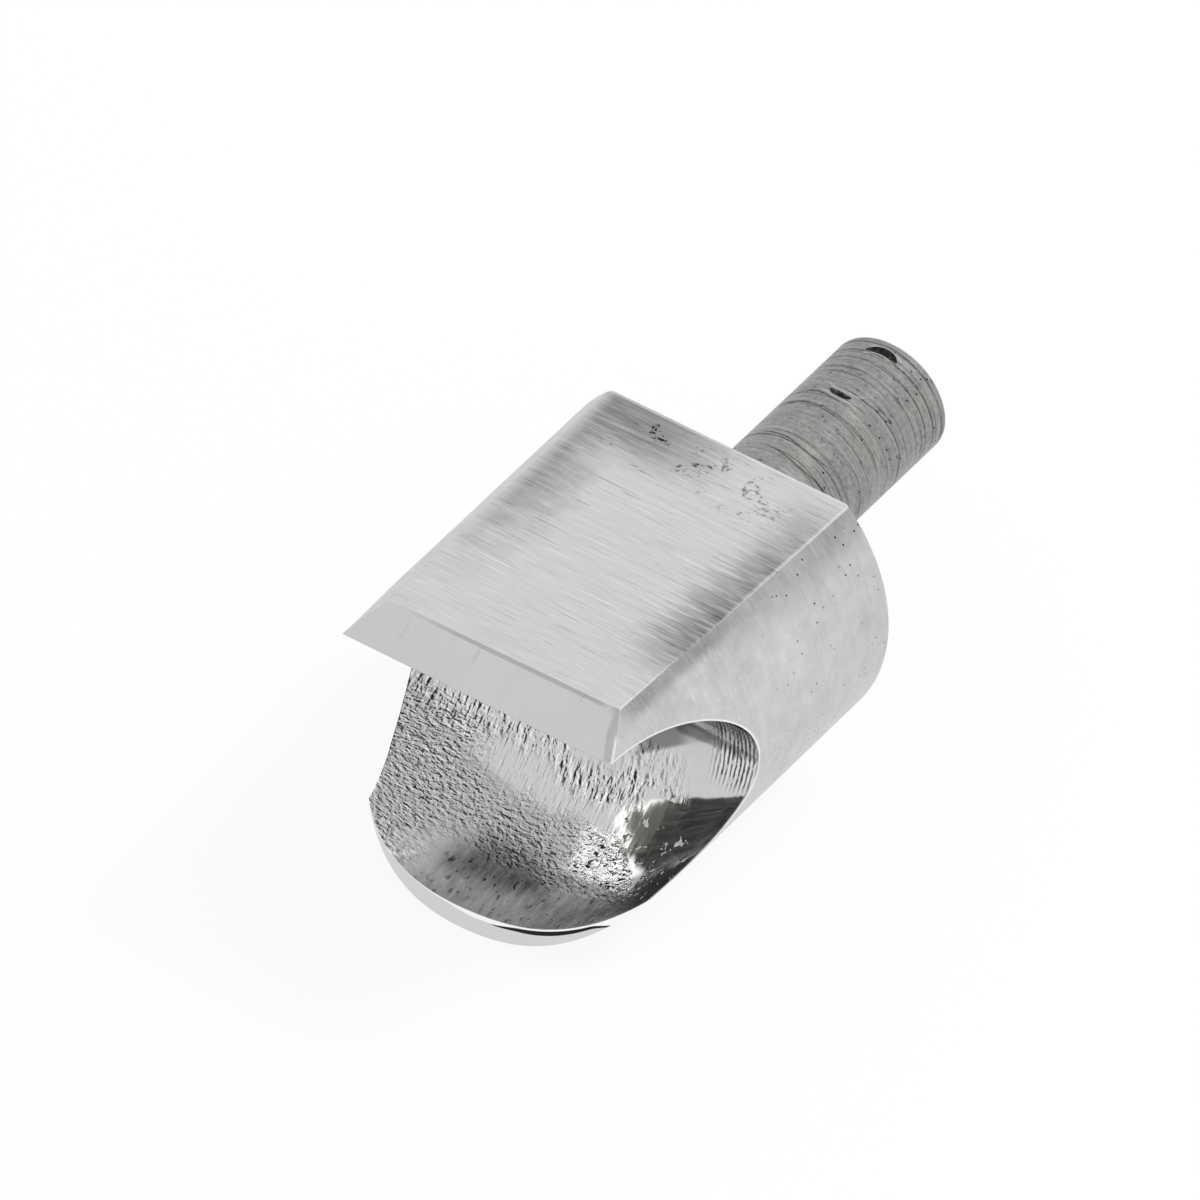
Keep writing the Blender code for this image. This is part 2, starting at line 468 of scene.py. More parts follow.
def brushed_flat(settings):
    """Flat ground across the bar: fine scratches along X, dark smudges near both edges, small torn pits and painted
    edge highlights.
    """
    paint = Paint("brushed_flat")
    x, y = paint.x, paint.y
    hair = paint.noise((0.5, 13.0, 1.0), detail=4.0, roughness=0.75)
    strands = paint.noise((0.28, 4.6, 1.0), detail=4.0, roughness=0.65)
    scratches = paint.noise((0.40, 10.0, 1.0), detail=1.0)
    pale = scratches.step(0.65, 0.71)
    dark = scratches.fall(0.28, 0.34)
    cloud = paint.noise((0.35, 0.35, 1.0), detail=4.0, roughness=0.65)
    comb = strands.step(0.42, 0.58)

    # Smudges: cloudy along the left edge and in its back corner, combed along the grain at the right.
    drift = (cloud - 0.5) * 4.0 + (strands - 0.5) * 2.0
    left_band = (x + drift).fall(-6.0, -2.8) * (y - drift).step(-30.0, -21.0)
    back_corner = (x + drift).fall(-3.6, 2.4) * (y + drift * 0.3).step(-18.6, -15.4)
    across = across_flat(paint, settings)
    left_edge = (2 * x - across).step(-6.9, -5.9)
    left_band = (left_band * 0.86).at_least(back_corner * 1.06) * (0.75 + comb * 0.25) * left_edge
    right_band = (across - (strands - 0.5) * 6.0 - (cloud - 0.5) * 2.0).step(3.6, 6.2)
    right_band = right_band * y.between(-28.2, -15.4, 1.8) * (0.55 + comb * 0.45)
    right_band = right_band * (1 - y.step(-20.5, -17.5) * 0.30)
    smudge = left_band * 0.56 + right_band * 0.66

    # Small torn pits near the shoulder.
    torn = paint.noise((3.8, 5.2, 1.0), detail=3.0, roughness=0.7)
    torn_zone = y.between(-17.6, -14.5, 0.6) * x.between(-4.6, 4.4, 1.2)
    torn_zone = torn_zone * paint.noise(paint.place, 0.8, detail=1.0).step(0.50, 0.60)
    pits = torn.fall(0.39, 0.45) * torn_zone

    # Painted highlights along the right edge and over the shoulder.
    edge_highlight = across.step(6.50, 6.54) * y.step(-25.0, -19.0) * 0.3
    edge_highlight = edge_highlight.at_least(y.step(-14.04, -13.97) * 0.4)
    shade = 0.60 + hair * 0.62 + strands * 0.12 + pale * 0.14 - dark * 0.22 - smudge - pits * 0.62
    tint = paint.scaled_colour(settings.flat_colour, shade)
    tint = paint.mix(edge_highlight, tint, FLAT_EDGE_HIGHLIGHT)
    roughness = 0.28 + hair * 0.16 + (strands - 0.5) * 0.10
    height = hair * 0.004 + strands * 0.003 - dark * 0.003 - pits * 0.02
    return paint.finish(tint, roughness, height, rounded_mm=EDGE_SOFTENING)


def satin_side(settings):
    """Round sides: satin, with scratches round the bar, black pits at the back, a polished line at the throat with a
    painted highlight, and painted highlight and shade below the flat.
    """
    paint = Paint("satin_side")
    x, y, z = paint.x, paint.y, paint.z
    radius = BAR_RADIUS / MM
    around = paint.wrapped(radius)
    rings = paint.noise((0.30, 7.0, 0.30), detail=4.0, roughness=0.65)
    cloud = paint.noise(around, 0.30, detail=5.0, roughness=0.65)
    mottle = paint.noise(around, 1.3, detail=4.0, roughness=0.7)
    back = y.step(-27.0, -16.0)
    pits = paint.cells(around, 1.25).fall(0.03, 0.09)
    pits = pits * paint.noise(around, 0.55).step(0.46, 0.58) * y.step(-27.0, -17.0)
    flecks = paint.noise(paint.wrapped(radius, 3.2, 5.0), detail=3.0)
    pale = flecks.step(0.62, 0.69) * y.between(-31.8, -24.0, 1.5)

    # Combed scratches that run down from the right edge of the flat, a darker land filed along that edge at the front,
    # and painted shade a little below that edge at the back.
    combed = paint.noise((0.45, 5.0, 0.45), detail=3.0, roughness=0.6)
    comb_zone = (z + (combed - 0.5) * 3.0).step(4.4, 6.2) * x.step(2.0, 4.0)
    climb = settings.flat_height_at_bevel - settings.flat_height_at_shoulder
    climb /= SHOULDER_Y - EDGE_Y - settings.bevel_length
    under_flat = z - settings.flat_height_at_shoulder / MM + (y - SHOULDER_Y / MM) * climb
    ragged = under_flat + (combed - 0.5) * 0.4
    front_half = y.fall(-27.0, -21.0)
    land = ragged.step(-0.75, -0.30) * front_half * y.step(-32.9, -31.0)
    # Behind the front half, painted shade is added below the edge.
    land = (land + ragged.step(-1.9, -0.2) * (1 - front_half) * 0.45) * x.step(4.8, 5.4)
    # Painted highlight just under the flat's right edge, in the back half.
    edge = under_flat.step(-0.08, -0.03) * x.step(4.8, 5.4) * (1 - front_half) * 0.5

    # Painted highlight along the throat's rim, which is also polished smoother there, wider below.
    rim = throat_section(paint, settings)
    rim = rim.between(1.0, 1.022, 0.006).at_least(rim.between(1.0, 1.07, 0.01) * z.fall(-3.0, 0.0))

    shade = 0.88 + rings * 0.24 + (cloud - 0.5) * 0.40 + (mottle - 0.5) * 0.34 - pits * 0.90 + pale * 0.16
    shade = shade - land * 0.36 - comb_zone * (0.55 - combed * 0.7) * (0.35 + back * 0.35) - back * 0.04
    tint = paint.scaled_colour(settings.side_colour, shade)
    tint = paint.mix(rim.at_least(edge), tint, SIDE_EDGE_HIGHLIGHT)
    roughness = 0.34 + rings * 0.10 - rim * 0.15
    height = rings * 0.003 + mottle * 0.004 - pits * 0.02
    return paint.finish(tint, roughness, height, rounded_mm=EDGE_SOFTENING)


def mirror_bevel(settings):
    """Bevel polished on a strop: nearly a mirror, with hairline scratches, a narrow land along its top and a painted
    highlight at its right.
    """
    paint = Paint("mirror_bevel")
    x, z = paint.x, paint.z
    hair = paint.noise((5.0, 0.5, 0.5), detail=3.0)
    cloud = paint.noise(paint.place, 0.35, detail=3.0)
    scratches = paint.noise((2.6, 0.35, 0.35), detail=1.0, distortion=0.3).fall(0.27, 0.31)
    # Share of the way up the bevel.
    rise = (settings.flat_height_at_bevel - settings.cutting_edge_height) / MM
    share = (z - settings.cutting_edge_height / MM) / rise
    land = share.step(0.925, 0.945) * x.step(-6.0, -2.0) * x.fall(5.2, 5.9)
    # Painted highlight along the bevel's right outline, in its lower part.
    edge_highlight = (paint.radius / (BAR_RADIUS / MM)).step(0.989, 0.994) * x.step(0.0, 1.0) * share.fall(0.35, 0.6)
    shade = 0.955 + hair * 0.06 + (cloud - 0.5) * 0.14 - scratches * 0.09 - land * 0.26
    tint = paint.scaled_colour(settings.bevel_colour, shade)
    tint = paint.mix(edge_highlight, tint, BEVEL_EDGE_HIGHLIGHT)
    roughness = 0.13 + hair * 0.06
    return paint.finish(tint, roughness, hair * 0.0006, rounded_mm=0.04)


def throat_section(paint, settings):
    """The throat's section as a value: 1 on its surface, more in the steel round it and less in the opening."""
    x, y, z = paint.x, paint.y, paint.z
    hollow = settings.lip_hollow_radius / MM
    power = settings.throat_floor_power
    reach = ((y - EDGE_Y / MM) / ((SHOULDER_Y - settings.web_length - EDGE_Y) / MM)).at_least(0.0)
    floor = (BAR_RADIUS - settings.lip_rim_thickness) / MM - hollow + (hollow**2 - x * x).root()
    down = (-z / floor).at_least(0.0)
    up = (z / (settings.cutting_edge_height / MM)).at_least(0.0)
    lower = reach**power + down**power
    upper = reach * reach + up * up
    return lower + (upper - lower) * z.above(0.0)


def polished_throat(settings):
    """Throat and lip: mirror-polished over tool marks, chatter ribs and hammered dents with painted lit and shaded
    sides, and duller and painted darker on the lip.
    """
    paint = Paint("polished_throat")
    x, y, z = paint.x, paint.y, paint.z
    depth = (SHOULDER_Y - settings.web_length - EDGE_Y) / MM
    floor = (BAR_RADIUS - settings.lip_rim_thickness) / MM
    # Angle round the throat: 0 in the middle of its back wall, -90 degrees on the lip.
    turn = (z / floor).angle_to((y - EDGE_Y / MM) / depth) * math.degrees(1)
    along = turn * math.radians(floor)

    def combed(across, lengthwise, lean=0.0):
        """Coordinates over the throat's wall: across the bar, leaning by so much, and along the section."""
        return paint.combine(x * across - along * lean, along * lengthwise, 0.0)

    def line(field, level, thin, thick):
        """1 along a noise's contour line at this level."""
        return abs(field - level).fall(thin, thick)

    def slope(across, lengthwise, lean, shift):
        """How fast a noise rises along a shift: its signs are the lit and the shaded sides of small bumps."""
        here = combed(across, lengthwise, lean)
        there = paint.node("ShaderNodeVectorMath", {"operation": "ADD"}, {0: here, 1: shift})
        near, far = (paint.noise(at, detail=3.0, roughness=0.65, distortion=0.15) for at in (here, there))
        return near - far

    cloud = paint.noise(combed(0.5, 0.5), detail=3.0)
    streaks = paint.noise(combed(6.0, 0.5))
    right_end = (x - 2.5 * turn.fall(-60.0, -44.0)).step(3.3, 4.2)
    left_end = x.fall(-6.0, -2.8)
    wander = (cloud - 0.5) * 16.0

    # Leaning tears under the blade, each painted with a shaded side and a highlighted lip, and fine drips that run on
    # below them, painted shaded and lit the same way.
    tear_field = paint.noise(combed(4.2, 1.1, -0.5), roughness=0.6, distortion=0.4)
    tear_slope = slope(3.4, 1.2, -0.3, (0.26, 0.06, 0.0))
    tear_zone = (turn + wander * 0.7 + x.between(-0.6, 2.4, 1.0) * 6.0).between(-34.5, -23.5, 3.0)
    tear_zone = tear_zone.at_least(turn.between(-32.0, -14.0, 4.0) * x.between(2.2, 5.6, 0.8) * 0.5)
    tear_zone = tear_zone * (1 - x.step(3.5, 4.5) * turn.fall(-29.0, -26.0)) * x.fall(5.6, 6.6)
    tear_zone = tear_zone * paint.noise(combed(1.3, 1.8)).step(0.30, 0.44)
    tears = tear_slope.step(0.040, 0.080) * tear_zone
    tear_highlights = (-tear_slope).step(0.055, 0.10) * tear_zone
    drip_slope = slope(7.0, 0.9, -0.8, (0.30, 0.0, 0.0))
    drip_zone = (turn + wander).between(-50.0, -30.0, 4.0) * (1 - right_end) * x.step(-9.2, -7.6)
    drip_shade = drip_slope.step(0.06, 0.16) * drip_zone
    drip_lights = (-drip_slope).step(0.06, 0.16) * drip_zone

    # Dents that the hammer and the stone left, lying across the section: dark pits, with the dents' shaded and lit
    # sides painted on.
    dent_field = paint.noise(combed(1.5, 3.1), detail=3.0, roughness=0.65, distortion=0.6)
    hammered = (turn + wander * 0.7).between(-66.0, -47.0, 4.0) * (1 - right_end)
    hammered = (hammered + left_end * turn.between(-100.0, -30.0, 7.0)).at_most(1.0)
    dent_slope = slope(3.2, 6.2, -0.5, (0.12, 0.28, 0.0))
    dent_shade_and_pits = dent_slope.step(0.03, 0.09) + dent_field.fall(0.34, 0.40) * 0.6
    patchy = paint.noise(combed(0.9, 1.3)).step(0.36, 0.56) * 0.5 + left_end * 0.45 + 0.5
    dent_shade_and_pits = dent_shade_and_pits.at_most(1.0) * hammered * patchy
    glints = (-dent_slope).step(0.05, 0.14) * hammered * patchy

    # A fan of sparkling facets where the lip meets the polished right end: bumped, with painted highlights and painted
    # dark reflections.
    fan = (turn + wander * 0.4).between(-61.0, -46.0, 2.5) * x.step(1.2, 2.8) * (1 - right_end)
    crumbs = paint.noise(combed(2.0, 2.0))
    facets = paint.noise(combed(2.3, 3.4, 1.5), distortion=1.3)
    fan_dark_reflection = (line(facets, 0.50, 0.016, 0.038) + facets.fall(0.35, 0.40)).at_most(1.0) * fan
    fan_highlight = fan - fan_dark_reflection
    dent_shade_and_pits = dent_shade_and_pits * (1 - fan)
    glints = glints * (1 - fan)
    sparks = crumbs.step(0.60, 0.66) * right_end * turn.between(-64.0, -38.0, 3.0)

    # The lip is duller and pitted, painted darker as a dark reflection with a darker band across it, and painted pale
    # at its left as a bright reflection.
    lip = (turn + wander).fall(-73.0, -45.0) * (x + wander * 0.14 - (turn + 90.0) * 0.06).step(-5.4, -2.6)
    # Painted dark reflection band across the lip.
    murk = lip * (turn + wander * 0.5).between(-75.0, -59.0, 4.5) * x.fall(0.5, 4.0)
    lip_grain = paint.noise(combed(3.0, 1.0), detail=4.0, roughness=0.7)
    pits = paint.noise(combed(3.6, 2.2)).fall(0.33, 0.40) * lip
    # Painted pale reflection at the lip's left, where scratches also show.
    left_lip_highlight = (x + wander * 0.06).fall(-4.6, -3.0) * turn.fall(-82.0, -64.0)
    scratches = paint.noise(combed(1.4, 4.0, -1.8)).step(0.58, 0.63) * left_lip_highlight

    # Chatter ribs where the wall runs out at the right.
    ribs = (x * (2 * math.pi / RIB_PITCH) + tear_field * 4.5).sine() * 0.5 + 0.5
    rib_zone = x.between(7.0, 9.2, 0.5) * turn.between(-14.0, 14.0, 4.0)

    # The underside of the blade is painted brighter at the left, for a brighter reflection in the wall below, and a
    # painted shadow lies over the top of the wall at the right.
    ceiling = turn.step(12.0, 26.0) * x.fall(2.5, 5.0)
    above = turn - x * 5.05
    dusk = above.step(-36.2, -34.0) * above.fall(-28.0, -20.0) * x.between(3.0, 7.4, 0.4)
    dusk = dusk * (1 - x.step(4.8, 5.8) * 0.65)

    shade = 1.0 + streaks * 0.06 + ceiling * 0.42 - dusk * 0.64 - hammered * 0.04
    shade = shade - tears * 1.00 + tear_highlights * 0.50 - drip_shade * 0.52 + drip_lights * 0.26
    shade = shade - dent_shade_and_pits * 0.95 + glints * 0.55 + fan_highlight * 1.10 - fan_dark_reflection * 1.00
    rib_shade = ribs.step(0.50, 0.85) * 0.9 - (1 - ribs).step(0.60, 0.90) * 0.3
    shade = shade - rib_shade * rib_zone * crumbs.step(0.3, 0.5)
    shade = shade - lip * (0.38 - (lip_grain - 0.5) * 0.95 * (1 - hammered)) - murk * 0.43 - pits * 0.32
    shade = shade + left_lip_highlight * 0.26 + scratches * 0.4 - (1 - scratches) * left_lip_highlight * (lip_grain - 0.40) * 2.4
    shade = shade.at_least(0.04)
    tint = paint.scaled_colour(settings.throat_colour, shade)
    roughness = 0.07 + streaks * 0.05 + hammered * 0.05 + lip * 0.14
    height = tear_field * tear_zone * 0.024 + dent_field * hammered * 0.012 + streaks * 0.001
    height = height - facets * fan * 0.030 + sparks * 0.035 - pits * 0.01
    return paint.finish(tint, roughness, height, rounded_mm=0.10)


def polished_rim(settings):
    """Front of the lip, polished after the throat, with a painted highlight along its top edge and a painted dark
    reflection line under it.
    """
    paint = Paint("polished_rim")
    x = paint.x
    streaks = paint.noise((0.4, 0.4, 6.0), detail=3.0)
    section = throat_section(paint, settings)
    # The painted dark reflection line is widest at the right of the lip's middle and tapers both ways.
    off_middle = (x - 3.8) / 3.0
    dark_reflection_width = (1 - off_middle * off_middle).at_least(0.0) * 0.085
    highlight_width = 0.030 + x.between(-0.8, 1.6, 0.8) * 0.05 + x.step(5.4, 6.6) * 0.16
    highlight_width = highlight_width * (0.3 + x.step(-4.0, -1.0) * 0.7)
    edge_highlight = section.between(0.98, 1.0 + highlight_width, 0.006)
    dark_reflection = section.step(1.0 + highlight_width, 1.008 + highlight_width)
    dark_reflection = dark_reflection * (section - highlight_width - dark_reflection_width).fall(1.0, 1.010) * dark_reflection_width.step(0.0, 0.02)
    tint = paint.scaled_colour(settings.side_colour, (1.04 + streaks * 0.06) * (1 - dark_reflection * 0.97))
    tint = paint.mix(edge_highlight * (1 - dark_reflection), tint, RIM_EDGE_HIGHLIGHT)
    return paint.finish(tint, 0.05 + streaks * 0.03, streaks * 0.0005, rounded_mm=0.12)


def turned_shoulder(settings):
    """Back face of the head, faced on a lathe."""
    paint = Paint("turned_shoulder")
    rings = paint.noise(paint.combine(paint.radius * 9.0, 0.0, 0.0), detail=3.0)
    tint = paint.scaled_colour(settings.side_colour, 0.84 + rings * 0.18)
    return paint.finish(tint, 0.34 + rings * 0.08, rings * 0.006, rounded_mm=EDGE_SOFTENING)


# ---- Cutter body ----

BAR_SIDES = 512
SOCKET_SIDES = 144
THROAT_STATIONS = 64
STATION_SPLITS = 4
FLOOR_STEPS = 110
CEILING_STEPS = 50
LIP_STEPS = 160
OVERCUT = 2.0 * MM
SIDE_OVERCUT = 0.3 * MM

# The land at the top of the bevel: where it turns down, how far it leans off the bevel, and its slices' turns.
LAND_TURN_X = 5.6 * MM
LAND_LEAN_DEGREES = 10
LAND_SLICE_DEGREES = (1.6, 14.0, 27.0, 40.0, 53.0, 65.0)

# Tool marks in the throat: the size of a mark along X, Y and Z, and its depth, in millimetres.
CLOUDY_MARKS = {
    "waves": ((0.9, 2.4, 2.4), 0.026),
    "tears": ((0.26, 0.9, 0.9), 0.034),
    "dimples": ((0.50, 0.50, 0.50), 0.022),
}
# The ribs' texture repeats every 0.628 of its size.
RIB_MARKS = ((0.43, 1e6, 1e6), 0.022)


def between_normals(first, second, share):
    return (first * (1 - share) + second * share).normalized()


def make_bar(settings, materials):
    """The round bar with its flat, rolled edges, chamfered shoulder and front bevel, sliced by planes."""
    bar = add_cylinder(BAR_SIDES, BAR_RADIUS, EDGE_Y - OVERCUT, SHOULDER_Y)
    bar.name = "ground_cutter_body"
    for material in materials:
        bar.data.materials.append(material)

    bevel_top = EDGE_Y + settings.bevel_length
    shoulder_top = Vector((0, SHOULDER_Y, settings.flat_height_at_shoulder))
    flat_front = Vector((0, bevel_top, settings.flat_height_at_bevel))
    edge = Vector((0, EDGE_Y, settings.cutting_edge_height))
    across = Vector((1, 0, 0))
    flat_normal = across.cross(shoulder_top - flat_front).normalized()
    bevel_normal = across.cross(flat_front - edge).normalized()

    bpy.ops.object.mode_set(mode="EDIT")
    # Chamfer round the shoulder.
    pick(bar, "edges", lambda e: all(abs(v.co.y - SHOULDER_Y) < 1e-6 for v in e.verts))
    bpy.ops.mesh.bevel(offset=settings.shoulder_chamfer, segments=2, affect="EDGES", clamp_overlap=False)
    slice_off(shoulder_top, flat_normal)
    slice_off(edge, bevel_normal)
    roll_long_edge(flat_front, flat_normal, settings.left_roll, -1, 7)
    roll_long_edge(flat_front, flat_normal, settings.right_roll, 1, 4)
    ease_bevel(settings, edge, flat_front, bevel_normal)
    return finish_edit(bar)


def ease_bevel(settings, edge, flat_front, bevel_normal):
    """Cuts the narrow land that starts at nothing on the left, widens to the right and turns down there."""
    up_bevel = (flat_front - edge).normalized()
    across = Vector((1, 0, 0))
    radius = settings.bevel_corner
    centre = flat_front - up_bevel * (settings.bevel_land + radius) + across * LAND_TURN_X
    lean = math.radians(LAND_LEAN_DEGREES)
    for degrees in LAND_SLICE_DEGREES:
        turn = math.radians(degrees)
        outward = across * math.sin(turn) + up_bevel * math.cos(turn)
        slice_off(centre + outward * radius, bevel_normal * math.cos(lean) + outward * math.sin(lean))


def roll_long_edge(on_flat, flat_normal, radius, side, facets):
    """Rounds the edge between the flat and the bar's side with slices tangent to a roll of this radius."""
    height = on_flat.z
    centre = Vector((side * math.sqrt((BAR_RADIUS - radius) ** 2 - (height - radius) ** 2), on_flat.y, height - radius))
    side_normal = Vector((centre.x, 0, centre.z)).normalized()
    for facet in range(facets):
        normal = between_normals(flat_normal, side_normal, (facet + 0.5) / facets)
        slice_off(centre + normal * radius, normal)


def lip_floor_depth(settings, x):
    rise = settings.lip_hollow_radius - math.sqrt(settings.lip_hollow_radius**2 - x**2)
    return BAR_RADIUS - settings.lip_rim_thickness - rise


def make_throat_cutter(settings, material):
    """The throat's shape: its section drawn point by point, pushed across the bar, hollowed and hammered."""
    wall_y = SHOULDER_Y - settings.web_length
    depth = wall_y - EDGE_Y
    front = EDGE_Y - 2 * OVERCUT
    side = BAR_RADIUS + SIDE_OVERCUT
    floor = lip_floor_depth(settings, 0.0)
    ceiling = settings.cutting_edge_height
    power = settings.throat_floor_power
    points = [(-side, front, -floor)]
    points += [(-side, EDGE_Y + depth * u, -floor * v) for u, v in power_arc(power, power, FLOOR_STEPS)][:-1]
    points += [(-side, EDGE_Y + depth * u, ceiling * v) for u, v in reversed(power_arc(2, 2, CEILING_STEPS))]
    points += [(-side, front, ceiling)]
    cutter = trace("throat_cutter", points)
    fill_and_extrude((2 * side, 0, 0))
    pitch = 2 * side / THROAT_STATIONS
    pick(cutter, "edges", lambda e: abs(e.verts[0].co.x - e.verts[1].co.x) > pitch)
    bpy.ops.mesh.subdivide(number_cuts=THROAT_STATIONS - 1)
    for station in range(THROAT_STATIONS + 1):
        x = -side + pitch * station
        pick_station(cutter, x, pitch / 4)
        bpy.ops.transform.resize(value=(1, 1, lip_floor_depth(settings, x) / floor), center_override=(0, 0, 0))
    pick(cutter, "edges", lambda e: abs(e.verts[0].co.x - e.verts[1].co.x) > pitch / 2)
    bpy.ops.mesh.subdivide(number_cuts=STATION_SPLITS - 1)
    finish_edit(cutter)
    hammer(settings, cutter)
    give_material(cutter, material)
    return cutter


def hammer(settings, cutter):
    """Presses tool marks, dimples and chatter ribs into the throat's wall and the back of the lip."""
    depth = SHOULDER_Y - settings.web_length - EDGE_Y
    floor = lip_floor_depth(settings, 0.0)

    def within(value, low, high, soft):
        return smooth_step(value, low - soft, low + soft) * (1 - smooth_step(value, high - soft, high + soft))

    def weights(place):
        """How strongly each kind of mark shows at a place on the wall."""
        x = place.x
        turn = math.degrees(math.atan2(place.z / floor, (place.y - EDGE_Y) / depth))
        ends = 1 - smooth_step(abs(x), BAR_RADIUS - 0.7 * MM, BAR_RADIUS - 0.2 * MM)
        inside = smooth_step(place.y, EDGE_Y - 0.3 * MM, EDGE_Y + 0.8 * MM) * max(ends, 0.15)
        # The wall is polished clean at the right: below its middle, and again from the ribs upwards.
        reach = 2.5 * MM * (1 - smooth_step(turn, -60, -44))
        polished = smooth_step(x - reach, 2.7 * MM, 4.0 * MM) * (1 - smooth_step(turn, -28, -22))
        clean = smooth_step(x, 4.5 * MM, 6 * MM) * smooth_step(turn, -16, -8)
        middle = within(turn, -68, -47, 5)
        left = (1 - smooth_step(x, -7 * MM, -3 * MM)) * within(turn, -84, -30, 6)
        return {
            "waves": inside * within(turn, -80, 40, 10) * (1 - max(0.6 * polished, 0.85 * clean)),
            "tears": within(turn, -38, -20, 4) * inside * (1 - polished) * (1 - smooth_step(x, 0, 6 * MM)),
            "dimples": max(middle, left) * inside * (1 - polished),
            "ribs": within(x, 7.0 * MM, 9.3 * MM, 0.4 * MM) * within(turn, -14, 14, 5),
        }

    weigh(cutter, weights)
    for name, (cell, height) in CLOUDY_MARKS.items():
        emboss(cutter, name, "CLOUDS", cell, height, noise_scale=1.0, noise_depth=1)
    emboss(cutter, "ribs", "WOOD", *RIB_MARKS)


def pick_station(cutter, x, tolerance):
    """Selects the lower half of the section at x. The cutter's own origin is taken off its places."""
    offset = cutter.location
    pick(cutter, "verts", lambda v: abs(v.co.x + offset.x - x) < tolerance and v.co.z + offset.z < -1e-7)


def make_lip_cutter(settings, material):
    """Everything ahead of the lip's outline, from under the bar up to the throat's middle."""
    wall_y = SHOULDER_Y - settings.web_length
    reach = wall_y - (SHOULDER_Y - settings.lip_reach)
    half_width = BAR_RADIUS + settings.shoulder_chamfer
    skew = math.tan(settings.lip_skew)
    arc = power_arc(settings.lip_width_power, settings.lip_reach_power, LIP_STEPS // 2)
    half = [(half_width * u, wall_y - reach * v) for u, v in arc]
    outline = [(-x, y) for x, y in reversed(half)] + half[1:]
    skewed = [(x, y + skew * x) for x, y in outline]
    front = EDGE_Y - 2 * OVERCUT
    side = half_width + OVERCUT
    corners = [(side, skewed[-1][1]), (side, front), (-side, front), (-side, skewed[0][1])]
    bottom = -BAR_RADIUS - OVERCUT
    cutter = trace("lip_cutter", [(x, y, bottom) for x, y in skewed + corners])
    fill_and_extrude((0, 0, -bottom))
    finish_edit(cutter)
    give_material(cutter, material)
    return cutter


def make_socket_cutter(gap, material):
    cutter = add_cylinder(SOCKET_SIDES, SHANK_RADIUS + gap, TANG_END_Y - gap, SHOULDER_Y + OVERCUT - gap)
    give_material(cutter, material)
    return cutter


def assign_faces(piece, material, test):
    """In edit mode, gives this material to the faces that pass the test."""
    pick(piece, "faces", test)
    piece.active_material_index = piece.data.materials.find(material.name)
    bpy.ops.object.material_slot_assign()


def add_body(settings, shank):
    flat, side, bevel = brushed_flat(settings), satin_side(settings), mirror_bevel(settings)
    shoulder, throat, rim = turned_shoulder(settings), polished_throat(settings), polished_rim(settings)
    body = make_bar(settings, (side, flat, bevel, shoulder))
    bpy.ops.object.mode_set(mode="EDIT")
    # The flat's finish runs further over the soft left edge than over the crisper right one.
    assign_faces(body, flat, lambda f: f.normal.z > (0.74 if f.normal.x < 0 else 0.88) and abs(f.normal.y) < 0.1)
    assign_faces(body, bevel, lambda f: f.normal.y < -0.3 and f.normal.z > 0.5)
    assign_faces(body, shoulder, lambda f: f.normal.y > 0.5)
    make_active(body)
    cut_away(body, make_throat_cutter(settings, throat))
    cut_away(body, make_lip_cutter(settings, rim))
    cut_away(body, make_socket_cutter(shank.joint_gap, shoulder))
    make_active(body)
    bpy.ops.object.mode_set(mode="EDIT")
    pick(body, "edges", lambda e: len({face.material_index for face in e.link_faces}) > 1)
    bpy.ops.mesh.mark_sharp()
    make_active(body)
    bpy.ops.object.shade_smooth_by_angle(angle=math.radians(40), keep_sharp_edges=True)
    apply_modifier(body, "WEIGHTED_NORMAL", keep_sharp=True, weight=60)
    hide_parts("cutter_body")
    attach(body, "root")
    return body


# ---- Shank ----

# Rings of painted shade that show all the way round: place along Y and width in millimetres, and how dark each is.
BOLD_RINGS = ((-0.45, 0.06, 0.8), (-1.15, 0.07, 0.9), (-1.75, 0.05, 0.7), (-2.5, 0.05, 0.5), (-8.6, 0.06, 0.9))
# The ring that a cup-point screw has pressed: its place along X in millimetres, its section's radius, how far its
# middle stands over the shank's surface, and how far it leans.
SCREW_MARK_X = 0.05
SCREW_SECTION_RADIUS = 0.32 * MM
SCREW_MIDDLE_HEIGHT = 0.23 * MM
SCREW_LEAN = -0.0163


